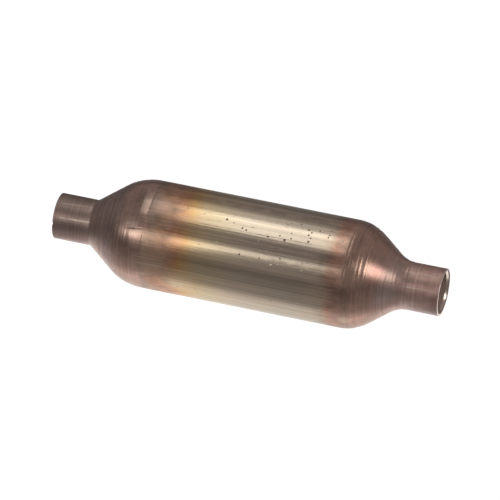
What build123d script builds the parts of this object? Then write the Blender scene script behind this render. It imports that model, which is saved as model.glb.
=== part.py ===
from build123d import *
import os
from math import cos, hypot, radians, sin, sqrt, tan

# In-line filter drier for a refrigerant line, lengths in millimetres.
# The axis is X and the origin is its middle. The inlet is at -X and the outlet at +X.

# Shell: one length of copper tube, both ends spun down to brazing sockets
overall_length = 93.4
body_diameter = 25.4
body_wall = 0.8
cone_angle = radians(37.4)  # slope of the spun cones to the axis
cone_wall = 0.95  # the wall gathers and thickens as it is spun inwards

# Brazing sockets, sized for 3/8 inch tube (9.525 mm)
socket_diameter = 9.6
socket_depth = 7.9
throat_diameter = 8.6  # the step down to it stops the tube

# Each spun end: its side of the middle, the outside diameter of its stub, the distance
# from the middle at which stub and cone would meet, and the radii of neck and shoulder
inlet_end = {"side": -1, "stub": 10.8, "neck_at": 37.73, "neck": 0, "shoulder": 12.7}
outlet_end = {"side": 1, "stub": 11.2, "neck_at": 36.86, "neck": 7.0, "shoulder": 10.0}

# Rings rolled from brass strip, one pressed up to each shoulder to back its screen
ring_width = 0.9  # along the axis
ring_strip = 1.35  # across, from the bore inwards
play = 0.03  # between the bore and what is pressed into it

# Inlet screen: a disc of coarse wire cloth, its warp proud on one side and its weft on
# the other. The gaps are smaller than a bead.
cloth_wall = 0.4
cloth_pitch = 2.6
wire_width = 0.85
wire_ridge = 0.55  # width of the proud part of a wire
wire_stand = 0.15
mesh_radius = 9.9  # the gaps lie within this radius of the axis

# Outlet screen: a disc of gauze too fine to show its gaps at this scale
gauze_wall = 0.35

bead_play = 0.05  # between the charge of beads and what holds it

# Worked out from the values above
body_radius = body_diameter / 2
bore_radius = body_radius - body_wall
half_length = overall_length / 2
disc_radius = bore_radius - play


def revolved(corners):
    """A solid of revolution about X, from an outline of (x, radius, blend) corners."""
    with BuildPart() as part:
        with BuildSketch(Plane.XY):
            with BuildLine():
                points = [(x, radius) for x, radius, _ in corners]
                blends = [blend for _, _, blend in corners]
                FilletPolyline(points, radius=blends, close=True)
            make_face()
        revolve(axis=Axis.X)
    return part.part


def cone_at(end, radius):
    """Distance from the middle at which an end's cone has a radius."""
    return end["neck_at"] - (radius - end["stub"] / 2) / tan(cone_angle)


def inner_cone_at(end, radius):
    """The same for the inside of the cone, a wall's thickness in."""
    return cone_at(end, radius + cone_wall / cos(cone_angle))


def inner_bevel(end):
    """Where the inside leaves the bore, on a bevel at half the slope of the cone that
    follows the rounded shoulder outside, and the radius at which it joins the cone."""
    shoulder = end["shoulder"] - body_wall
    half_bevel = shoulder * tan(cone_angle / 4)
    starts_at = inner_cone_at(end, bore_radius) - shoulder * tan(cone_angle / 2) + half_bevel
    joins_radius = bore_radius - 2 * half_bevel * sin(cone_angle / 2)
    return starts_at, joins_radius


def end_corners(end):
    """One end's outline: outwards along the outside and back along the inside."""
    stub = end["stub"] / 2
    socket = socket_diameter / 2
    throat = throat_diameter / 2
    stop_at = half_length - socket_depth
    bevel_at, joins_radius = inner_bevel(end)
    corners = [
        (cone_at(end, body_radius), body_radius, end["shoulder"]),
        (end["neck_at"], stub, end["neck"]),
        (half_length, stub, 0),
        (half_length, socket, 0),
        (stop_at, socket, 0),
        (stop_at, throat, 0),
        (inner_cone_at(end, throat), throat, 0),
        (inner_cone_at(end, joins_radius), joins_radius, 0),
        (bevel_at, bore_radius, 0),
    ]
    return [(end["side"] * at, radius, blend) for at, radius, blend in corners]


def make_shell():
    return revolved(end_corners(outlet_end) + end_corners(inlet_end)[::-1])


def ring_face(end):
    """Distance from the middle of a ring's outer face, its edge up against the bevel."""
    bevel_at, _ = inner_bevel(end)
    return bevel_at + play / tan(cone_angle / 2)


def disc(end, outer_at, thickness, hole_radius=0):
    """A disc or ring that fills the bore, its outer face at a distance from the middle."""
    face = Plane.YZ.offset(end["side"] * outer_at)
    outline = Circle(disc_radius)
    if hole_radius:
        outline -= Circle(hole_radius)
    return extrude(face * outline, -end["side"] * thickness)


def make_ring(end):
    return disc(end, ring_face(end), ring_width, disc_radius - ring_strip)


def make_outlet_screen():
    return disc(outlet_end, ring_face(outlet_end) - ring_width, gauze_wall)


def make_inlet_screen():
    """One wall of cloth. The proud parts of the wires are ridges on it."""
    outer_at = ring_face(inlet_end) - ring_width
    cloth = disc(inlet_end, outer_at, cloth_wall)
    face = Plane.YZ.offset(-outer_at)
    count = 2 * int(mesh_radius / cloth_pitch) + 1

    gap = cloth_pitch - wire_width
    corner = hypot(gap, gap) / 2
    cells = GridLocations(cloth_pitch, cloth_pitch, count, count)
    near = [cell for cell in cells if cell.position.length + corner < mesh_radius]
    gaps = Sketch() + [cell * Rectangle(gap, gap) for cell in near]
    cloth -= extrude(face * gaps, cloth_wall)

    warp = Sketch()
    for wire in GridLocations(cloth_pitch, 0, count + 1, 1):
        length = 2 * sqrt(mesh_radius**2 - wire.position.X**2)
        warp += wire * Rectangle(wire_ridge, length)
    weft = Rot(Z=90) * warp
    cloth += extrude(face * warp, -wire_stand)
    cloth += extrude(face.offset(cloth_wall) * weft, wire_stand)
    return cloth


def make_beads():
    """The charge of beads as one packed solid, from screen to screen."""
    inlet_at = ring_face(inlet_end) - ring_width - cloth_wall - wire_stand - bead_play
    outlet_at = ring_face(outlet_end) - ring_width - gauze_wall - bead_play
    charge = Plane.YZ.offset(-inlet_at) * Circle(bore_radius - bead_play)
    return extrude(charge, inlet_at + outlet_at)


parts = {
    "shell": make_shell(),
    "inlet_screen_ring": make_ring(inlet_end),
    "inlet_screen": make_inlet_screen(),
    "desiccant_beads": make_beads(),
    "outlet_screen": make_outlet_screen(),
    "outlet_screen_ring": make_ring(outlet_end),
}
os.makedirs("parts", exist_ok=True)
for name, part in parts.items():
    print(name, "solids", len(part.solids()), "volume", round(part.volume, 1))
    export_step(part, f"parts/{name}.step")
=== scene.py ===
import math
import random

import bmesh
import bpy
from mathutils import Matrix, Vector, noise


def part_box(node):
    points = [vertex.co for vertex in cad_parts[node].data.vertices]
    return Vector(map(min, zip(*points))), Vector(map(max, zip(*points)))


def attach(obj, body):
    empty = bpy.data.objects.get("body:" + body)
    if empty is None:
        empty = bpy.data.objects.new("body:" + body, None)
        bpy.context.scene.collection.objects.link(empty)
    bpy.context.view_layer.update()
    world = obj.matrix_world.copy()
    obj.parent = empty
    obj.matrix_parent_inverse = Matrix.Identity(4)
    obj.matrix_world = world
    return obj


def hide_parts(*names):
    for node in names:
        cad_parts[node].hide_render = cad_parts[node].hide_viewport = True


# In-line copper filter drier: a spun shell, a screen at each end and a charge of beads.
# Sizes are in millimetres, and each finished mesh is scaled to metres.

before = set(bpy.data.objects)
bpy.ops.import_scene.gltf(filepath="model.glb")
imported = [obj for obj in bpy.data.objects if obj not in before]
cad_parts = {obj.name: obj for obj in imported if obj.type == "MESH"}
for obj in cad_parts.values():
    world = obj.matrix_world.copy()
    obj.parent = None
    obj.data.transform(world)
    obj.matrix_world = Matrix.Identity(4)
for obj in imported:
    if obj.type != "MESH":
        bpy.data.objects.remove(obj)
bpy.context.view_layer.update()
mm = 0.001
print("frame loaded:", ", ".join(sorted(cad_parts)))


def spanOf(node):  # a CAD node's corners in millimetres
    low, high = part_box(node)
    return low / mm, high / mm


# mesh helpers

def lineTo(bm, pen, x, radius, cuts=0):  # a straight line, divided by so many cuts
    start, end = pen.co.copy(), Vector((x, radius, 0))
    for number in range(cuts + 1):
        pen = bmesh.ops.extrude_vert_indiv(bm, verts=[pen])["verts"][0]
        pen.co = start.lerp(end, (number + 1) / (cuts + 1))
    return pen


def lastVert(made):  # the vertex at which a spun line ends
    return [part for part in made["geom_last"] if isinstance(part, bmesh.types.BMVert)][0]


def arcTo(bm, pen, x, radius, turn, steps):  # about the centre (x, radius)
    made = bmesh.ops.spin(bm, geom=[pen], cent=(x, radius, 0), axis=(0, 0, 1), angle=turn, steps=steps)
    return lastVert(made)


def weld(bm):
    bmesh.ops.remove_doubles(bm, verts=bm.verts, dist=0.0005)


def turnAboutAxis(bm, steps):
    bmesh.ops.spin(bm, geom=bm.verts[:] + bm.edges[:], cent=(0, 0, 0), axis=(1, 0, 0),
                   angle=math.tau, steps=steps, use_merge=True)
    weld(bm)
    bmesh.ops.recalc_face_normals(bm, faces=bm.faces)


def addTo(bm, part):  # moves one bmesh into another, and returns the number of its first vertex there
    first = len(bm.verts)
    spare = bpy.data.meshes.new("part")
    part.to_mesh(spare)
    part.free()
    bm.from_mesh(spare)
    bpy.data.meshes.remove(spare)
    return first


def finishPiece(bm, name, materials, replaced, sharpAngle=35):
    bmesh.ops.scale(bm, vec=(mm, mm, mm), verts=bm.verts)
    mesh = bpy.data.meshes.new(name)
    bm.to_mesh(mesh)
    bm.free()
    mesh.shade_smooth()
    mesh.set_sharp_from_angle(angle=math.radians(sharpAngle))
    for material in materials:
        mesh.materials.append(material)
    piece = bpy.data.objects.new(name, mesh)
    bpy.context.scene.collection.objects.link(piece)
    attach(piece, "root")
    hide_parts(replaced)
    print("piece:", name, len(mesh.polygons), "faces")
    return piece


# material helpers

def newTree(name):
    material = bpy.data.materials.new(name)
    material.use_nodes = True
    material.node_tree.nodes.clear()
    return material, material.node_tree


def newMaterial(name, metallic=0.0):
    material, tree = newTree(name)
    shader = tree.nodes.new("ShaderNodeBsdfPrincipled")
    shader.inputs["Metallic"].default_value = metallic
    output = tree.nodes.new("ShaderNodeOutputMaterial")
    tree.links.new(shader.outputs[0], output.inputs[0])
    return material, tree, shader


def setLooks(tree, shader, tint, rough):
    tree.links.new(tint, shader.inputs["Base Color"])
    tree.links.new(rough, shader.inputs["Roughness"])


def addNode(tree, kind, inputs=None, **settings):
    node = tree.nodes.new("ShaderNode" + kind)
    for name, value in settings.items():
        setattr(node, name, value)
    for slot, value in (inputs or {}).items():
        if isinstance(value, bpy.types.NodeSocket):
            tree.links.new(value, node.inputs[slot])
        else:
            node.inputs[slot].default_value = value
    return node


def calc(tree, operation, first, second=0.0, third=0.0):
    node = addNode(tree, "Math", {0: first, 1: second, 2: third}, operation=operation)
    return node.outputs[0]


def rescale(tree, value, fromLow, fromHigh, toLow=0.0, toHigh=1.0, kind="LINEAR"):
    node = addNode(tree, "MapRange", {"Value": value, "From Min": fromLow, "From Max": fromHigh,
                                      "To Min": toLow, "To Max": toHigh}, interpolation_type=kind)
    return node.outputs[0]


def mixColour(tree, factor, first, second, blend="MIX"):
    node = addNode(tree, "Mix", {0: factor, 6: first, 7: second}, data_type="RGBA",
                   blend_type=blend, clamp_result=True)
    return node.outputs[2]


def greyOf(tree, value):
    return addNode(tree, "CombineColor", {0: value, 1: value, 2: value}).outputs[0]


def distanceTo(tree, place, point):
    return addNode(tree, "VectorMath", {0: place, 1: point}, operation="DISTANCE").outputs["Value"]


def objectPlace(tree, scale):  # Object coordinates in millimetres, times a scale for each axis
    place = addNode(tree, "TexCoord").outputs["Object"]
    return addNode(tree, "Mapping", {"Vector": place, "Scale": [part / mm for part in scale]}).outputs[0]


def grain(tree, scale, detail=2.0, roughness=0.5, seed=0.0, distortion=0.0):
    node = addNode(tree, "TexNoise", {"Vector": objectPlace(tree, scale), "W": seed, "Scale": 1.0,
                                      "Detail": detail, "Roughness": roughness,
                                      "Distortion": distortion}, noise_dimensions="4D")
    return node.outputs["Fac"]


def rampAlong(tree, place, reach, stops):  # stops are (place from -reach to reach, value or colour)
    ramp = addNode(tree, "ValToRGB", {"Fac": rescale(tree, place, -reach, reach)})
    elements = ramp.color_ramp.elements
    for number, (at, value) in enumerate(stops):
        position = (at + reach) / (2 * reach)
        element = elements[0] if number == 0 else elements.new(position)
        element.position = position
        element.color = (*value, 1) if isinstance(value, tuple) else (value, value, value, 1)
        if number == 0:
            elements.remove(elements[1])
    return ramp.outputs["Color"]


# shell: one tube, spun down at both ends

shellLow, shellHigh = spanOf("shell")
shell = {
    "halfLength": shellHigh.x,
    "bodyRadius": shellHigh.z,
    "bodyWall": 0.8,
    "coneAngle": math.radians(37.4),
    "coneWall": 0.95,
    "socketRadius": 4.8,
    "socketDepth": 7.9,
    "throatRadius": 4.3,
    "lip": 0.16,  # radius of the worn outer edge of a cut end
    "chamfer": (0.28, 0.46, 0.34),  # inside the cut ends: its start, length and how far it opens
    "turns": 240,
    "fineFrom": 20.8,  # the body is divided finely from here to the shoulder
    "inlet": {"side": -1, "stub": 5.4, "neckAt": 37.73, "neck": 1.0, "shoulder": 12.6},
    "outlet": {"side": 1, "stub": 5.6, "neckAt": 36.86, "neck": 7.0, "shoulder": 10.0},
    # grooves where the spinning roller started: place, depth and width
    "spinStarts": [(-22.9, 0.03, 0.20), (25.3, 0.025, 0.16), (26.4, 0.015, 0.14), (42.6, 0.02, 0.12)],
    "spinLines": [(0.62, 0.012), (0.9, 0.026), (1.4, 0.028), (2.3, 0.018)],  # ridges: pitch and height
    "ridgesFrom": 24,  # the ridges begin this far from the middle, ...
    "ridgesFade": 37,  # ... and get lower from here, towards the stubs
    "ridgesEase": 3,  # the length that each of these changes takes
    "stubFade": 0.7,  # how much lower they are on the stubs
    "inletRidges": 0.6,  # height of the inlet's ridges, against the outlet's
    "sawnReach": 0.5,  # the cut ends are uneven this far in, ...
    "sawnDepth": 0.05,  # ... by up to twice this
    "nick": (18, 3.5, 0.20),  # in the inlet's edge: angle up from the front, width in degrees, depth
}


def drawEnd(bm, end):  # from the middle of the body out to the mouth, and back along the inside
    angle = shell["coneAngle"]
    body, bore = shell["bodyRadius"], shell["bodyRadius"] - shell["bodyWall"]
    mouth, lip, stub = shell["halfLength"], shell["lip"], end["stub"]
    wall = shell["coneWall"] / math.cos(angle)

    def coneAt(radius):
        return end["neckAt"] - (radius - stub) / math.tan(angle)

    shoulderAt = coneAt(body) - end["shoulder"] * math.tan(angle / 2)
    neckEnds = end["neckAt"] + end["neck"] * math.tan(angle / 2)
    neckStart = end["neckAt"] - end["neck"] * math.tan(angle / 2) * math.cos(angle)
    neckRadius = stub + end["neck"] * math.tan(angle / 2) * math.sin(angle)
    pen = bm.verts.new((0, body, 0))
    pen = lineTo(bm, pen, shell["fineFrom"], body, cuts=3)
    pen = lineTo(bm, pen, shoulderAt, body, cuts=24)
    pen = arcTo(bm, pen, shoulderAt, body - end["shoulder"], -angle, 44)
    pen = lineTo(bm, pen, neckStart, neckRadius, cuts=42)
    pen = arcTo(bm, pen, neckEnds, stub + end["neck"], angle, 5 + round(2 * end["neck"]))
    pen = lineTo(bm, pen, mouth - lip, stub, cuts=28)
    skin = bm.verts[:]
    pen = arcTo(bm, pen, mouth - lip, stub - lip, -math.pi / 2, 4)
    socket, throat = shell["socketRadius"], shell["throatRadius"]
    stopAt = mouth - shell["socketDepth"]
    start, deep, wide = shell["chamfer"]
    pen = lineTo(bm, pen, mouth, socket + wide)
    pen = lineTo(bm, pen, mouth - start, socket + wide)
    pen = lineTo(bm, pen, mouth - start - deep, socket, cuts=2)
    pen = lineTo(bm, pen, stopAt, socket, cuts=6)
    pen = lineTo(bm, pen, stopAt, throat)
    pen = lineTo(bm, pen, coneAt(throat + wall), throat)
    innerShoulder = end["shoulder"] - shell["bodyWall"]
    innerAt = coneAt(bore + wall) - innerShoulder * math.tan(angle / 2)
    arcEndsAt = innerAt + innerShoulder * math.sin(angle)
    arcEndRadius = bore - innerShoulder * (1 - math.cos(angle))
    pen = lineTo(bm, pen, arcEndsAt, arcEndRadius, cuts=3)
    pen = arcTo(bm, pen, innerAt, bore - innerShoulder, angle, 6)
    lineTo(bm, pen, 0, bore, cuts=1)
    return skin


def ease(value, start):  # 0 up to the start, and 1 from the end of the change
    return min(1, max(0, (value - start) / shell["ridgesEase"]))


def spinHeight(x, phases):  # what the spinning roller left: always at or below the plain outline
    height = 0
    for (pitch, size), phase in zip(shell["spinLines"], phases):
        height += size * (math.sin(math.tau * x / pitch + phase) - 1)
    fade = ease(abs(x), shell["ridgesFrom"]) * (1 - shell["stubFade"] * ease(abs(x), shell["ridgesFade"]))
    comesAndGoes = 0.55 + 0.9 * noise.noise((x / 3, 0.3, 7.1))
    height *= fade * comesAndGoes * (1.0 if x > 0 else shell["inletRidges"])
    for place, depth, width in shell["spinStarts"]:
        height -= depth * math.exp(-((x - place) / width) ** 2)
    return height


def unevenEnds(bm):  # the saw leaves the cut ends a little uneven, with a nick in the inlet's edge
    sawn = shell["sawnReach"]
    nickAngle, nickWidth, nickDepth = shell["nick"]
    for vert in bm.verts:
        reach = abs(vert.co.x) - (shell["halfLength"] - sawn)
        if reach > 0:
            turn = math.atan2(vert.co.z, vert.co.y)
            around = noise.noise((math.cos(turn) * 1.3, math.sin(turn) * 1.3, vert.co.x))
            uneven = shell["sawnDepth"] * (1 + around)
            vert.co.x -= math.copysign(uneven * reach / sawn, vert.co.x)
            off = math.degrees(turn) - (180 - nickAngle)
            if vert.co.x < 0 and vert.co.yz.length > shell["socketRadius"] + 0.1:
                vert.co.x += nickDepth * math.exp(-(off / nickWidth) ** 2) * reach / sawn


def buildShell(materials):
    bm = bmesh.new()
    skins = []
    for end in (shell["inlet"], shell["outlet"]):
        part = bmesh.new()
        skin = drawEnd(part, end)
        part.verts.index_update()
        skinNumbers = [vert.index for vert in skin]
        bmesh.ops.scale(part, vec=(end["side"], 1, 1), verts=part.verts)
        before = addTo(bm, part)
        bm.verts.ensure_lookup_table()
        skins += [bm.verts[before + number] for number in skinNumbers]
    random.seed(11)
    phases = [random.uniform(0, math.tau) for _ in shell["spinLines"]]
    for vert in skins:
        vert.co.y += spinHeight(vert.co.x, phases)
    weld(bm)
    turnAboutAxis(bm, shell["turns"])
    unevenEnds(bm)
    for face in bm.faces:  # 0 is the outside, 1 the bore and 2 the cut ends
        middle = face.calc_center_median()
        outward = face.normal.y * middle.y + face.normal.z * middle.z
        if abs(face.normal.x) > 0.5 and abs(middle.x) > shell["halfLength"] - 1:
            face.material_index = 2
        elif outward < 0 or abs(face.normal.x) > 0.9:
            face.material_index = 1
    return finishPiece(bm, "spunShell", materials, "shell")


# finishes of the shell, among them painted highlights and painted shade

copperFinishAndPaintedLight = {
    "tint": [
        (-46, (0.53, 0.40, 0.35)),
        (-39, (0.52, 0.38, 0.33)),
        (-37, (0.66, 0.50, 0.43)),
        (-33, (0.68, 0.51, 0.44)),
        (-30.5, (0.64, 0.48, 0.41)),
        (-27.5, (0.82, 0.56, 0.44)),
        (-23.3, (0.84, 0.57, 0.45)),
        (-22.6, (0.66, 0.48, 0.37)),
        (-20.0, (0.74, 0.45, 0.29)),
        (-17.0, (0.80, 0.45, 0.28)),
        (-14.8, (0.94, 0.50, 0.24)),
        (-13.0, (1.0, 0.63, 0.26)),
        (-10.3, (0.98, 0.75, 0.45)),
        (-7, (0.94, 0.78, 0.50)),
        (0, (0.90, 0.76, 0.57)),
        (12, (0.86, 0.74, 0.57)),
        (18.5, (0.84, 0.71, 0.54)),
        (20.5, (0.80, 0.66, 0.49)),
        (22.3, (0.86, 0.50, 0.35)),
        (23.6, (0.84, 0.50, 0.36)),
        (26, (0.74, 0.50, 0.38)),
        (29, (0.84, 0.55, 0.42)),
        (33, (0.84, 0.55, 0.44)),
        (35.5, (0.88, 0.62, 0.53)),
        (39, (0.98, 0.68, 0.57)),
        (46, (1.0, 0.67, 0.57)),
    ],
    "roughness": [(-46, 0.44), (-38, 0.40), (-30, 0.28), (-26, 0.24), (-23.2, 0.24), (-22.6, 0.34),
                  (-17, 0.30), (-14, 0.21), (0, 0.19), (19, 0.19), (22, 0.24), (26, 0.28), (30, 0.25),
                  (33, 0.28), (36, 0.36), (40, 0.44), (46, 0.46)],
    "mottled": [(-46, 0.15), (-38, 0.15), (-30, 0.3), (-24, 0.25), (-22.5, 0.6), (-17, 0.6), (-13, 0.0),
                (18, 0.0), (21, 0.4), (26, 0.4), (31, 0.2), (46, 0.3)],
    "wander": 1.3,  # how far the tint bands wander along the tube, mm
    "darkPatch": (0.46, 0.32, 0.24, 1),
    "rosyPatch": (0.90, 0.54, 0.38, 1),
    # painted reflection: a greyer tone for the underside of the outlet stub
    "paintedUndersideReflection": (0.84, 0.70, 0.66, 1),
    "haze": (0.58, 0.47, 0.34, 1),
    # pale colour of bright scores and of painted highlight bands; the next, the dark colour of dark scores
    # and of painted shade bands
    "brightScoreAndPaintedHighlight": (1.0, 0.85, 0.72, 1),
    "darkScoreAndPaintedShade": (0.20, 0.14, 0.11, 1),
    "pit": (0.10, 0.07, 0.05, 1),
    "fleck": (1.0, 0.82, 0.60, 1),
    # stains left by the torch, and patches of painted highlight, painted shade and painted reflection laid
    # where the lamps' streaks fall:
    # place along the tube, angle round it from the front, radius, strength, colour and, off the body, their
    # distance from the axis
    "stainsAndPaintedLight": [(-20.0, 76, 3.2, 0.5, (0.84, 0.58, 0.46)), (-14.6, 37, 3.6, 0.8, (0.99, 0.57, 0.33)),
               (-13.8, -8, 5.0, 0.9, (1.0, 0.88, 0.60)), (-20.0, 13, 6.4, 0.8, (1.0, 0.74, 0.54)),
               # (24.0, 76) on the next line is painted shade: a dark patch that dims the upper lamp streak at
               # the outlet shoulder
               (-14.4, 62, 2.8, 0.7, (0.92, 0.54, 0.34)), (24.0, 76, 3.4, 0.3, (0.50, 0.39, 0.32)),
               (19.6, 14, 4.8, 0.8, (1.0, 0.80, 0.58)), (24.2, -14, 3.6, 0.5, (0.50, 0.38, 0.33)),
               # on the next line, (-24.6, 78) is painted shade that dims the upper lamp streak at the inlet
               # shoulder, and (34.5, 14) is a painted reflection that lightens the lower front of the outlet
               # neck
               (-24.6, 78, 4.4, 0.8, (0.46, 0.34, 0.28)), (34.5, 14, 4.4, 0.8, (1.0, 0.82, 0.74), 8.0),
               # on the next line, (34.4, 53) is painted shade that fades the outlet cone's highlight towards
               # the neck, and (31.4, 48) is a pink patch painted where that highlight falls, colouring the
               # highlight
               (34.4, 53, 2.8, 0.65, (0.50, 0.34, 0.29), 8.0), (31.4, 48, 4.0, 0.7, (0.92, 0.46, 0.38), 9.7),
               # (-27.4, 28) on the next line is painted shade that trims the lower corner of the inlet
               # shoulder's highlight
               (-27.4, 28, 2.8, 0.6, (0.46, 0.33, 0.27), 11.9),
               (-12.5, 54, 3.0, 0.4, (0.76, 0.60, 0.38)), (26.2, -18, 2.0, 0.8, (1.0, 0.84, 0.58)),
               (28.3, -18, 1.2, 0.7, (1.0, 0.72, 0.66), 12.4)],
    # dulled places: place, angle, radius, how much rougher, and distance from the axis
    "dulled": [(-26.4, 49, 2.6, 0.16, 12.2)],
    # scores along the tube, and bands of painted highlight and painted shade: from, to, the angle at each,
    # width in mm, and how much brighter they are
    "scoresAndPaintedBands": [(5.0, 24.0, 43.3, 42.7, 0.20, 1.0), (-27.9, -23.1, 42.5, 45.0, 0.34, -1.3),
               # (7.0, 25.0) on the next line is painted shade: a dark band just under the lower lamp streak
               (7.0, 25.0, 39.3, 39.0, 1.0, -0.45), (-13.0, 21.0, 62.5, 64.0, 0.18, -0.55),
               (-12.0, 4.0, 68.5, 69.5, 0.12, -0.5), (-14.0, 12.0, 77.5, 78.0, 0.12, 0.5),
               (-8.0, 20.0, 52.0, 52.6, 0.10, -0.6),
               (-10.0, 16.0, 33.0, 33.4, 0.12, -0.5), (-12.0, 18.0, 20.5, 20.0, 0.12, -0.45),
               # the four wide bright bands on the next two lines are painted highlights, laid where the
               # lamps' streaks run along the stubs
               (-46.0, -37.0, 36.0, 39.5, 0.80, 0.75), (-46.0, -37.0, 74.0, 81.0, 0.50, 0.4),
               (37.5, 46.5, 37.0, 38.0, 0.90, 0.6), (35.5, 46.5, 74.0, 76.0, 0.90, 0.5),
               # on the next line, (-28.3, -24.2) is a painted highlight that carries the inlet shoulder's
               # highlight up past its crease, and (-17.0, 20.0) is painted shade, a dark band near the top of
               # the body standing in for a dark reflection
               (-28.3, -24.2, 48.2, 49.6, 0.90, 0.4), (-17.0, 20.0, 97.0, 99.0, 2.2, -0.42)],
    # pits and flecks: place along the tube in mm, angle round it from the front, radius in mm
    "pits": [(-4.4, 73.6, 0.30), (-2.6, 71.0, 0.18), (-0.3, 66.8, 0.22), (0.7, 65.6, 0.2),
             (2.0, 70.1, 0.16), (6.1, 62.8, 0.28), (8.8, 66.6, 0.2), (10.1, 62.5, 0.3), (11.3, 72.1, 0.18),
             (11.5, 66.0, 0.2), (19.8, 75.7, 0.2), (14.8, 80.8, 0.26), (15.7, 77.7, 0.24), (15.2, 74.0, 0.26),
             (15.9, 70.6, 0.24), (15.6, 66.4, 0.26), (0.5, 38.7, 0.24)],
    "flecks": [(4.2, 56.0, 0.22), (7.6, 38.4, 0.2), (8.3, 34.2, 0.26), (8.7, 38.7, 0.16), (9.9, 35.6, 0.2),
               (15.4, 42.0, 0.2), (15.8, 38.4, 0.22), (15.6, 34.6, 0.2), (23.0, 74.9, 0.50)],
}


def onShell(at, angle, radius=shell["bodyRadius"]):  # a place along the tube and an angle from the front
    turn = math.radians(angle)
    return Vector((at, -radius * math.cos(turn), radius * math.sin(turn))) * mm


def spotMask(tree, place, spots):  # 1 in the middle of a spot and 0 outside all of them
    mask = 0.0
    for at, angle, size in spots:
        away = distanceTo(tree, place, onShell(at, angle))
        mask = calc(tree, "MAXIMUM", mask, rescale(tree, away, size * 0.5 * mm, size * mm, 1.0, 0.0))
    return mask


def stainAndPaintedLightMask(tree, place, at, angle, size, strength, *radius):  # fades from its middle outwards
    away = distanceTo(tree, place, onShell(at, angle, *radius))
    return rescale(tree, away, size * 0.2 * mm, size * mm, strength, 0.0, kind="SMOOTHSTEP")


def scoreAndPaintedBandMask(tree, along, angle, scoreAndPaintedBand):  # how much a score or a painted band of highlight or shade brightens or darkens each place
    start, end, first, last, width, strength = scoreAndPaintedBand
    line = rescale(tree, along, start, end, first, last)
    away = calc(tree, "ABSOLUTE", calc(tree, "SUBTRACT", angle, line))
    half = math.degrees(width / shell["bodyRadius"]) / 2
    across = rescale(tree, away, half * 0.4, half * 1.6, 1.0, 0.0, kind="SMOOTHSTEP")
    middle, reach = (start + end) / 2, (end - start) / 2
    off = calc(tree, "ABSOLUTE", calc(tree, "SUBTRACT", along, middle))
    inside = rescale(tree, off, reach * 0.8, reach, strength, 0.0)
    return calc(tree, "MULTIPLY", across, inside)


def drawScoresAndPaintedBands(tree, along, angle):  # above 0 where a score is bright or a highlight is painted, and below 0 where a score is dark or shade is painted
    scoredAndPaintedBands = 0.0
    for scoreAndPaintedBand in copperFinishAndPaintedLight["scoresAndPaintedBands"]:
        scoredAndPaintedBands = calc(tree, "ADD", scoredAndPaintedBands, scoreAndPaintedBandMask(tree, along, angle, scoreAndPaintedBand))
    broken = rescale(tree, grain(tree, (0.45, 0.3, 0.3), detail=2, seed=15.0), 0.38, 0.56, 0.25, 1.0)
    return calc(tree, "MULTIPLY", scoredAndPaintedBands, broken)


def drawSpots(tree, place):  # masks of the pits and of the flecks, with ragged edges
    jitter = addNode(tree, "TexNoise", {"Vector": objectPlace(tree, (2.2, 2.2, 2.2)), "Scale": 1.0})
    nudge = addNode(tree, "VectorMath", {0: jitter.outputs["Color"], 1: (0.5, 0.5, 0.5)},
                    operation="SUBTRACT")
    shift = addNode(tree, "VectorMath", {0: nudge.outputs[0], "Scale": 0.5 * mm}, operation="SCALE")
    ragged = addNode(tree, "VectorMath", {0: place, 1: shift.outputs[0]}).outputs[0]
    grains = addNode(tree, "TexVoronoi", {"Vector": objectPlace(tree, (0.6, 0.8, 0.8)), "Scale": 1.0})
    scattered = calc(tree, "MULTIPLY", rescale(tree, grains.outputs["Distance"], 0.08, 0.14, 1.0, 0.0),
                     rescale(tree, grain(tree, (0.08, 0.2, 0.2), seed=9.0), 0.54, 0.64))
    pitted = calc(tree, "MAXIMUM", spotMask(tree, ragged, copperFinishAndPaintedLight["pits"]), scattered)
    return pitted, spotMask(tree, ragged, copperFinishAndPaintedLight["flecks"])


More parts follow.
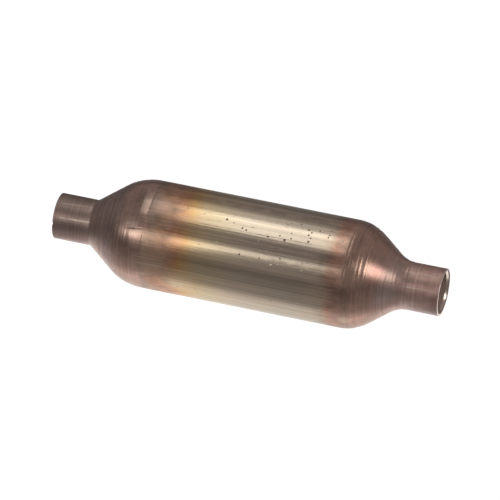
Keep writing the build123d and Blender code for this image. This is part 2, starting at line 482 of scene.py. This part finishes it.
def heatTintAndPaintedLight(tree, place, along, angle):  # bands across the tube, patches, stains, painted highlight and painted shade patches, a painted reflection on the outlet stub's underside, and a thin haze
    wander = calc(tree, "SUBTRACT", grain(tree, (0.05, 0.07, 0.07), detail=1, seed=2.0), 0.5)
    wandered = calc(tree, "MULTIPLY_ADD", wander, 2 * copperFinishAndPaintedLight["wander"], along)
    reach = shell["halfLength"]
    tint = rampAlong(tree, wandered, reach, copperFinishAndPaintedLight["tint"])
    mottled = rampAlong(tree, wandered, reach, copperFinishAndPaintedLight["mottled"])

    patches = grain(tree, (0.16, 0.20, 0.20), detail=2, roughness=0.5, seed=5.0)
    dark = rescale(tree, patches, 0.50, 0.64, kind="SMOOTHSTEP")
    tint = mixColour(tree, calc(tree, "MULTIPLY", dark, mottled), tint, copperFinishAndPaintedLight["darkPatch"])
    rosy = rescale(tree, patches, 0.47, 0.33, kind="SMOOTHSTEP")
    tint = mixColour(tree, calc(tree, "MULTIPLY", rosy, mottled), tint, copperFinishAndPaintedLight["rosyPatch"])
    blots = grain(tree, (0.42, 0.75, 0.75), detail=3, roughness=0.6, seed=21.0)
    blots = greyOf(tree, rescale(tree, blots, 0.36, 0.62, 0.70, 1.10))
    tint = mixColour(tree, calc(tree, "MULTIPLY", mottled, 1.4), tint, blots, "MULTIPLY")

    uneven = rescale(tree, patches, 0.30, 0.62, 0.5, 1.0)
    # torch stains, and patches of painted highlight, painted shade and painted reflection
    for at, turn, size, strength, colour, *radius in copperFinishAndPaintedLight["stainsAndPaintedLight"]:
        stainedAndPainted = stainAndPaintedLightMask(tree, place, at, turn, size, strength, *radius)
        tint = mixColour(tree, calc(tree, "MULTIPLY", stainedAndPainted, uneven), tint, (*colour, 1))
    # painted reflection: the underside of the outlet stub turns greyer, standing in for the pale floor it
    # mirrors
    under = calc(tree, "MULTIPLY", rescale(tree, angle, 8, -22, 0.0, 0.7), rescale(tree, along, 35, 40))
    tint = mixColour(tree, under, tint, copperFinishAndPaintedLight["paintedUndersideReflection"])
    haze = rescale(tree, grain(tree, (0.05, 0.35, 0.35), detail=3, seed=7.0), 0.42, 0.68, 0.0, 0.30)
    return mixColour(tree, haze, tint, copperFinishAndPaintedLight["haze"])


def makeCopper():
    material, tree, shader = newMaterial("heatTintedCopperAndPaintedLight", metallic=1.0)
    place = addNode(tree, "TexCoord").outputs["Object"]
    parts = addNode(tree, "SeparateXYZ", {0: place}).outputs
    along = calc(tree, "MULTIPLY", parts["X"], 1 / mm)
    turn = calc(tree, "ARCTAN2", parts["Z"], calc(tree, "MULTIPLY", parts["Y"], -1.0))
    angle = calc(tree, "DEGREES", turn)
    onEnds = rescale(tree, calc(tree, "ABSOLUTE", along), 22.5, 25.5, kind="SMOOTHSTEP")
    drawn = grain(tree, (0.018, 3.4, 3.4), detail=3, roughness=0.65, seed=1.0)
    spun = grain(tree, (2.4, 0.02, 0.02), detail=3, roughness=0.75, seed=4.0)
    lines = addNode(tree, "Mix", {0: onEnds, 2: drawn, 3: spun}).outputs[0]
    scoredAndPaintedBands = drawScoresAndPaintedBands(tree, along, angle)
    pitted, flecked = drawSpots(tree, place)

    shade = greyOf(tree, rescale(tree, lines, 0.3, 0.7, 0.73, 1.14))
    tint = mixColour(tree, 1.0, heatTintAndPaintedLight(tree, place, along, angle), shade, "MULTIPLY")
    # scores brighten or darken the tint, and so do the bands of painted highlight and painted shade among
    # them
    tint = mixColour(tree, calc(tree, "MAXIMUM", scoredAndPaintedBands, 0.0), tint, copperFinishAndPaintedLight["brightScoreAndPaintedHighlight"])
    darker = calc(tree, "MAXIMUM", calc(tree, "MULTIPLY", scoredAndPaintedBands, -0.8), 0.0)
    tint = mixColour(tree, darker, tint, copperFinishAndPaintedLight["darkScoreAndPaintedShade"])
    tint = mixColour(tree, calc(tree, "MULTIPLY", pitted, 0.62), tint, copperFinishAndPaintedLight["pit"])
    tint = mixColour(tree, calc(tree, "MULTIPLY", flecked, 0.9), tint, copperFinishAndPaintedLight["fleck"])

    rough = rampAlong(tree, along, shell["halfLength"], copperFinishAndPaintedLight["roughness"])
    rough = calc(tree, "MULTIPLY_ADD", calc(tree, "SUBTRACT", lines, 0.5), 0.25, rough)
    rough = calc(tree, "MULTIPLY_ADD", pitted, 0.3, rough)
    rough = calc(tree, "MULTIPLY_ADD", flecked, 0.14, rough)
    for spot in copperFinishAndPaintedLight["dulled"]:
        rough = calc(tree, "ADD", rough, stainAndPaintedLightMask(tree, place, *spot))
    setLooks(tree, shader, tint, rough)

    height = calc(tree, "MULTIPLY", lines, rescale(tree, onEnds, 0.0, 1.0, 0.5, 1.5))
    height = calc(tree, "MULTIPLY_ADD", pitted, -1.5, height)
    height = calc(tree, "MULTIPLY_ADD", scoredAndPaintedBands, 0.6, height)
    height = calc(tree, "MULTIPLY_ADD", flecked, 0.6, height)
    bump = addNode(tree, "Bump", {"Height": height, "Strength": 1.0, "Distance": 0.022 * mm})
    tree.links.new(bump.outputs[0], shader.inputs["Normal"])
    return material


def makeBore():
    material, tree, shader = newMaterial("scaledBore")
    scale = grain(tree, (0.4, 0.6, 0.6), detail=4, roughness=0.65, seed=3.0)
    ramp = addNode(tree, "ValToRGB", {"Fac": scale})
    ramp.color_ramp.elements[0].color = (0.98, 0.76, 0.64, 1)
    ramp.color_ramp.elements[0].position = 0.35
    ramp.color_ramp.elements[1].color = (1.0, 0.82, 0.70, 1)
    ramp.color_ramp.elements[1].position = 0.7
    setLooks(tree, shader, ramp.outputs[0], rescale(tree, scale, 0.3, 0.7, 0.62, 0.46))
    return material


def makeCut():
    material, tree, shader = newMaterial("cutCopper", metallic=1.0)
    sawn = grain(tree, (3.0, 2.4, 2.4), detail=3, seed=6.0)
    tint = mixColour(tree, rescale(tree, sawn, 0.35, 0.65), (0.98, 0.84, 0.74, 1), (0.94, 0.72, 0.60, 1))
    setLooks(tree, shader, tint, rescale(tree, sawn, 0.3, 0.7, 0.15, 0.26))
    return material


print("finishing the shell")
buildShell([makeCopper(), makeBore(), makeCut()])


# rings that back the screens

ring = {"strip": 1.35, "edge": 0.12, "turns": 160}


def makeBrass(name):
    material, tree, shader = newMaterial(name, metallic=1.0)
    rolled = grain(tree, (0.6, 1.2, 1.2), detail=3, seed=8.0)
    tint = mixColour(tree, rescale(tree, rolled, 0.35, 0.7), (0.80, 0.58, 0.28, 1), (0.62, 0.42, 0.20, 1))
    setLooks(tree, shader, tint, rescale(tree, rolled, 0.3, 0.7, 0.28, 0.42))
    return material


def buildRing(name, node, brass):
    low, high = spanOf(node)
    edge = ring["edge"]
    outer, inner = high.z, high.z - ring["strip"]
    bm = bmesh.new()
    start = bm.verts.new((low.x + edge, outer, 0))
    pen = lineTo(bm, start, high.x - edge, outer)
    pen = arcTo(bm, pen, high.x - edge, outer - edge, -math.pi / 2, 4)
    pen = lineTo(bm, pen, high.x, inner + edge)
    pen = arcTo(bm, pen, high.x - edge, inner + edge, -math.pi / 2, 4)
    pen = lineTo(bm, pen, low.x + edge, inner)
    pen = arcTo(bm, pen, low.x + edge, inner + edge, -math.pi / 2, 4)
    pen = lineTo(bm, pen, low.x, outer - edge)
    arcTo(bm, pen, low.x + edge, outer - edge, -math.pi / 2, 4)
    weld(bm)
    turnAboutAxis(bm, ring["turns"])
    finishPiece(bm, name, [brass], node)


brass = makeBrass("rolledBrass")
buildRing("inletRing", "inlet_screen_ring", brass)
buildRing("outletRing", "outlet_screen_ring", brass)


# screens: wires woven one over, one under, pressed flat into a rim

cloths = [
    {"name": "inletWireCloth", "node": "inlet_screen", "slot": "wire_cloth", "pitch": 2.6, "width": 0.8,
     "stand": 0.15, "steps": 8, "sides": 10},
    {"name": "outletGauze", "node": "outlet_screen", "slot": "gauze", "pitch": 0.66, "width": 0.24,
     "stand": 0.0, "steps": 4, "sides": 6},
]
weave = {
    "radius": 9.9,  # of the mesh inside the rim
    "intoRim": 0.4,  # how far the wires run into the rim
    "thickness": 0.52,  # of a wire, against that of the cloth
}


def makeWire(cloth, middle, thick, at, first, swing):  # runs along Z beside the axis
    length = 2 * math.sqrt((weave["radius"] + weave["intoRim"]) ** 2 - at ** 2)
    wire = bmesh.new()
    bmesh.ops.create_cone(wire, cap_ends=True, segments=cloth["sides"], radius1=0.5, radius2=0.5,
                          depth=length)
    bmesh.ops.scale(wire, vec=(thick, cloth["width"], 1), verts=wire.verts)
    long = [edge for edge in wire.edges if abs(edge.verts[0].co.z - edge.verts[1].co.z) > length / 2]
    cuts = max(3, round(length / cloth["pitch"] * cloth["steps"]))
    bmesh.ops.subdivide_edges(wire, edges=long, cuts=cuts)
    for vert in wire.verts:
        vert.co.x += middle + swing * math.cos(math.pi * (vert.co.z - first) / cloth["pitch"])
        vert.co.y += at
    return wire


def buildCloth(cloth, material):
    low, high = spanOf(cloth["node"])
    middle = (low.x + high.x) / 2
    thick = (high.x - low.x) * weave["thickness"]
    swing = (high.x - low.x - thick) / 2
    half = int(weave["radius"] / cloth["pitch"] + 0.5)
    bm = bmesh.new()
    first = (0.5 - half) * cloth["pitch"]
    for number in range(2 * half):
        at = first + number * cloth["pitch"]
        up = swing if number % 2 else -swing
        addTo(bm, makeWire(cloth, middle, thick, at, first, up))
        across = makeWire(cloth, middle, thick, at, first, -up)
        quarterTurn = Matrix.Rotation(math.pi / 2, 3, "X")
        bmesh.ops.rotate(across, cent=(0, 0, 0), matrix=quarterTurn, verts=across.verts)
        addTo(bm, across)
    rim = bmesh.new()
    inner, outer = low.x + cloth["stand"], high.x - cloth["stand"]
    pen = rim.verts.new((inner, high.z, 0))
    pen = lineTo(rim, pen, outer, high.z)
    pen = lineTo(rim, pen, outer, weave["radius"])
    pen = arcTo(rim, pen, (inner + outer) / 2, weave["radius"], -math.pi, 6)
    lineTo(rim, pen, inner, high.z)
    weld(rim)
    turnAboutAxis(rim, ring["turns"])
    addTo(bm, rim)
    finishPiece(bm, cloth["name"], [material], cloth["node"], sharpAngle=50)


drawnWire = makeBrass("drawnWire")
for cloth in cloths:
    buildCloth(cloth, drawnWire)


# desiccant: a charge of beads, packed in layers

beads = {
    "size": 2.28,
    "gap": 0.16,
    "shift": 0.07,  # how far each lies off its place, ...
    "settled": 0.3,  # ... less so this close to the wall, ...
    "clear": 0.02,  # ... from which they keep this far
}


def makeDesiccant():
    material, tree, shader = newMaterial("desiccantBeads")
    each = addNode(tree, "NewGeometry").outputs["Random Per Island"]
    tint = mixColour(tree, each, (0.62, 0.52, 0.38, 1), (0.78, 0.71, 0.58, 1))
    dust = grain(tree, (1.6, 1.6, 1.6), detail=4, roughness=0.7, seed=12.0)
    tint = mixColour(tree, rescale(tree, dust, 0.4, 0.75, 0.0, 0.6), tint, (0.86, 0.82, 0.74, 1))
    setLooks(tree, shader, tint, rescale(tree, dust, 0.3, 0.7, 0.65, 0.9))
    return material


def buildBeads(material):
    random.seed(23)
    low, high = spanOf("desiccant_beads")
    radius, spacing = beads["size"] / 2, beads["size"] + beads["gap"]
    bm = bmesh.new()
    one = bmesh.new()
    bmesh.ops.create_cube(one, size=1)
    bmesh.ops.subdivide_edges(one, edges=one.edges, cuts=1, use_grid_fill=True)
    for vert in one.verts:
        vert.co = vert.co.normalized() * radius
    bead = bpy.data.meshes.new("bead")
    one.to_mesh(bead)
    one.free()
    layers = int((high.x - low.x - beads["size"]) / (spacing * math.sqrt(2 / 3))) + 1
    step = (high.x - low.x - beads["size"]) / (layers - 1)
    row = spacing * math.sqrt(3) / 2
    reach = high.z - radius
    rows = int(reach / row) + 2
    placed = 0
    for layer in range(layers):
        offset = Vector((0, spacing / 2, row / 3)) * (layer % 2)
        for up in range(-rows, rows + 1):
            for across in range(-rows - 1, rows + 2):
                spot = Vector((0, (across + 0.5 * (up % 2)) * spacing, up * row)) + offset
                if spot.length > reach - beads["clear"]:
                    continue
                nudge = Vector([random.uniform(-1, 1) for _ in range(3)]) * beads["shift"]
                spot += nudge * min(1, (reach - spot.length) / beads["settled"])
                spot.x = min(max(low.x + radius + layer * step + nudge.x, low.x + radius), high.x - radius)
                turned = Matrix.Translation(spot) @ Matrix.Rotation(random.uniform(0, math.tau), 4, "X")
                bead.transform(turned)
                bm.from_mesh(bead)
                bead.transform(turned.inverted())
                placed += 1
    bpy.data.meshes.remove(bead)
    print("beads placed:", placed)
    finishPiece(bm, "desiccantCharge", [material], "desiccant_beads", sharpAngle=180)


buildBeads(makeDesiccant())


# floor, backdrop, lamps and camera

studio = {
    "floorAt": shellLow.z * mm,
    "floorReach": 2.6,
    "wallCurve": 0.8,
    "wallHeight": 3.2,
    "shown": 0.96,  # how bright the floor looks, before the lamps add to it
    "stripHalf": (0.022, 0.056),  # half the length of the strip that glows most, in front and behind
    "stripAt": (-0.006, 0.0),  # it lengthens between these y
    "nearGlow": 0.36,  # how much of the floor metal mirrors close by, ...
    "nearReach": (0.014, 0.025),
    "midGlow": 0.26,  # ... further out ...
    "midReach": 0.022,
    "farGlow": 0.06,  # ... and far away
    "nearTone": (0.96, 1.0, 1.12, 1),
    "farTone": (1.0, 0.90, 0.92, 1),
    "wallGlow": 0.12,  # how much brighter the wall is than the floor far away, ...
    "wallAt": (0.05, 0.75),  # it brightens between these heights
    "leftGlow": 1.7,  # ... the floor on the left than on the right ...
    "leftAt": (-0.022, 0.010),  # it dims between these x
    "backGlow": 1.6,  # ... and behind than in front
    "backAt": (0.0, 0.008),  # it brightens between these y
    "patch": (-0.047, -0.008),  # x and y of a bright place under the inlet
    "patchReach": (0.007, 0.015),
    "patchGlow": 0.17,
    "paint": 0.36,  # how pale the floor is under the lamps
    "ambient": 0.19,
    "ambientTone": (1, 0.91, 0.95, 1),
    "lamps": [
        # name, where it stands, the x on the drier's axis that it faces, size across and up, brightness
        ("topBox", (-0.12, 0.100, 0.602), 0, (0.15, 0.40), 0.92),
        ("topEdge", (-0.12, 0.213, 0.572), 0, (0.15, 0.08), 0.48),
        ("backFill", (-0.10, 0.36, 0.47), 0, (0.20, 0.15), 0.30),
        ("frontStrip", (-0.46, -0.478, 0.367), 0, (0.60, 0.16), 0.45),
        ("frontNear", (-0.094, -0.129, 0.086), -0.094, (0.096, 0.038), 1.0),
        ("frontEdge", (-0.10, -0.455, 0.395), 0, (0.16, 0.10), 0.80),
        ("rightBox", (0.52, -0.108, 0.281), 0, (0.22, 0.19), 1.9),
        ("rightFill", (0.252, -0.25, 0.48), 0, (0.13, 0.10), 0.6),
    ],
}


def makeFloor():  # looks plain, and gives the metal its own brightness to mirror
    material, tree = newTree("paleFloor")
    place = addNode(tree, "TexCoord").outputs["Object"]
    parts = addNode(tree, "SeparateXYZ", {0: place}).outputs
    half = rescale(tree, parts["Y"], *studio["stripAt"], *studio["stripHalf"])
    beyond = calc(tree, "MAXIMUM", calc(tree, "SUBTRACT", calc(tree, "ABSOLUTE", parts["X"]), half), 0.0)
    squares = calc(tree, "MULTIPLY_ADD", beyond, beyond, calc(tree, "MULTIPLY", parts["Y"], parts["Y"]))
    away = calc(tree, "SQRT", squares)
    near = rescale(tree, away, *studio["nearReach"], 1.0, 0.0, kind="SMOOTHSTEP")
    middle = calc(tree, "EXPONENT", calc(tree, "DIVIDE", away, -studio["midReach"]))
    onLeft = rescale(tree, parts["X"], *studio["leftAt"], studio["leftGlow"], 1.0)
    onWall = studio["farGlow"] + studio["wallGlow"]
    far = rescale(tree, parts["Z"], *studio["wallAt"], studio["farGlow"], onWall)
    close = calc(tree, "MULTIPLY_ADD", near, studio["nearGlow"],
                 calc(tree, "MULTIPLY", calc(tree, "MULTIPLY", middle, onLeft), studio["midGlow"]))
    behind = rescale(tree, parts["Y"], *studio["backAt"], 1.0, studio["backGlow"])
    mirrored = calc(tree, "MULTIPLY_ADD", close, behind, far)
    toPatch = distanceTo(tree, place, (*studio["patch"], studio["floorAt"]))
    patch = rescale(tree, toPatch, *studio["patchReach"], studio["patchGlow"], 0.0, kind="SMOOTHSTEP")
    mirrored = calc(tree, "ADD", mirrored, patch)
    ray = addNode(tree, "LightPath").outputs
    inMetal = calc(tree, "MAXIMUM", ray["Is Glossy Ray"], ray["Is Transmission Ray"])
    strength = calc(tree, "MULTIPLY_ADD", ray["Is Camera Ray"], studio["shown"],
                    calc(tree, "MULTIPLY", inMetal, mirrored))
    tone = mixColour(tree, middle, studio["farTone"], studio["nearTone"])
    tone = mixColour(tree, ray["Is Camera Ray"], tone, (1, 1, 1, 1))
    light = addNode(tree, "Emission", {"Color": tone, "Strength": strength})
    paint = addNode(tree, "BsdfDiffuse", {"Color": [studio["paint"]] * 3 + [1]})
    both = addNode(tree, "AddShader", {0: light.outputs[0], 1: paint.outputs[0]})
    addNode(tree, "OutputMaterial", {"Surface": both.outputs[0]})
    return material


def buildBackdrop():  # a round floor that curves up into a wall
    bm = bmesh.new()
    start = bm.verts.new((0, 0, 0))
    reach, curve = studio["floorReach"], studio["wallCurve"]
    made = lineTo(bm, start, reach, 0)
    curved = bmesh.ops.spin(bm, geom=[made], cent=(reach, 0, curve), axis=(0, -1, 0),
                            angle=math.pi / 2, steps=12)
    top = bmesh.ops.extrude_vert_indiv(bm, verts=[lastVert(curved)])["verts"][0]
    top.co = (reach + curve, 0, studio["wallHeight"])
    bmesh.ops.spin(bm, geom=bm.verts[:] + bm.edges[:], cent=(0, 0, 0), axis=(0, 0, 1), angle=math.tau,
                   steps=96, use_merge=True)
    bmesh.ops.remove_doubles(bm, verts=bm.verts, dist=0.0001)
    bmesh.ops.translate(bm, vec=(0, 0, studio["floorAt"]), verts=bm.verts)
    mesh = bpy.data.meshes.new("backdrop")
    bm.to_mesh(mesh)
    bm.free()
    mesh.shade_smooth()
    mesh.materials.append(makeFloor())
    backdrop = bpy.data.objects.new("backdrop", mesh)
    bpy.context.scene.collection.objects.link(backdrop)


def addLamp(name, place, faces, size, brightness):
    data = bpy.data.lights.new(name, "AREA")
    data.shape = "RECTANGLE"
    data.size, data.size_y = size
    data.energy = brightness * math.pi * size[0] * size[1]
    lamp = bpy.data.objects.new(name, data)
    lamp.location = place
    towards = (Vector((faces, 0, 0)) - Vector(place)).normalized()
    across = Vector((1, 0, 0)) if abs(towards.x) < 0.8 else Vector((0, 1, 0))
    up = towards.cross(across).normalized()
    across = up.cross(-towards).normalized()
    lamp.matrix_world = Matrix.Translation(place) @ Matrix((across, up, -towards)).transposed().to_4x4()
    lamp.visible_camera = False
    bpy.context.scene.collection.objects.link(lamp)


buildBackdrop()
for lamp in studio["lamps"]:
    addLamp(*lamp)

world = bpy.data.worlds.new("dimRoom")
world.use_nodes = True
background = world.node_tree.nodes["Background"]
background.inputs["Color"].default_value = studio["ambientTone"]
background.inputs["Strength"].default_value = studio["ambient"]
bpy.context.scene.world = world

camera = {
    "azimuth": 17.25,
    "elevation": 40.2,
    "distance": 1.5,
    "lens": 466.1,
    "aimAbove": 0.86,  # mm up the picture from the middle of the drier
}


def addCamera():
    turn, tilt = math.radians(camera["azimuth"]), math.radians(camera["elevation"])
    back = Vector((math.sin(turn) * math.cos(tilt), -math.cos(turn) * math.cos(tilt), math.sin(tilt)))
    across = Vector((math.cos(turn), math.sin(turn), 0))
    upwards = back.cross(across)
    data = bpy.data.cameras.new("camera")
    data.lens = camera["lens"]
    data.clip_start, data.clip_end = 0.01, 20
    eye = bpy.data.objects.new("camera", data)
    place = back * camera["distance"] + upwards * camera["aimAbove"] * mm
    eye.matrix_world = Matrix.Translation(place) @ Matrix((across, upwards, back)).transposed().to_4x4()
    bpy.context.scene.collection.objects.link(eye)
    bpy.context.scene.camera = eye


addCamera()
bpy.context.scene.view_settings.view_transform = "Standard"

print("scene ready")
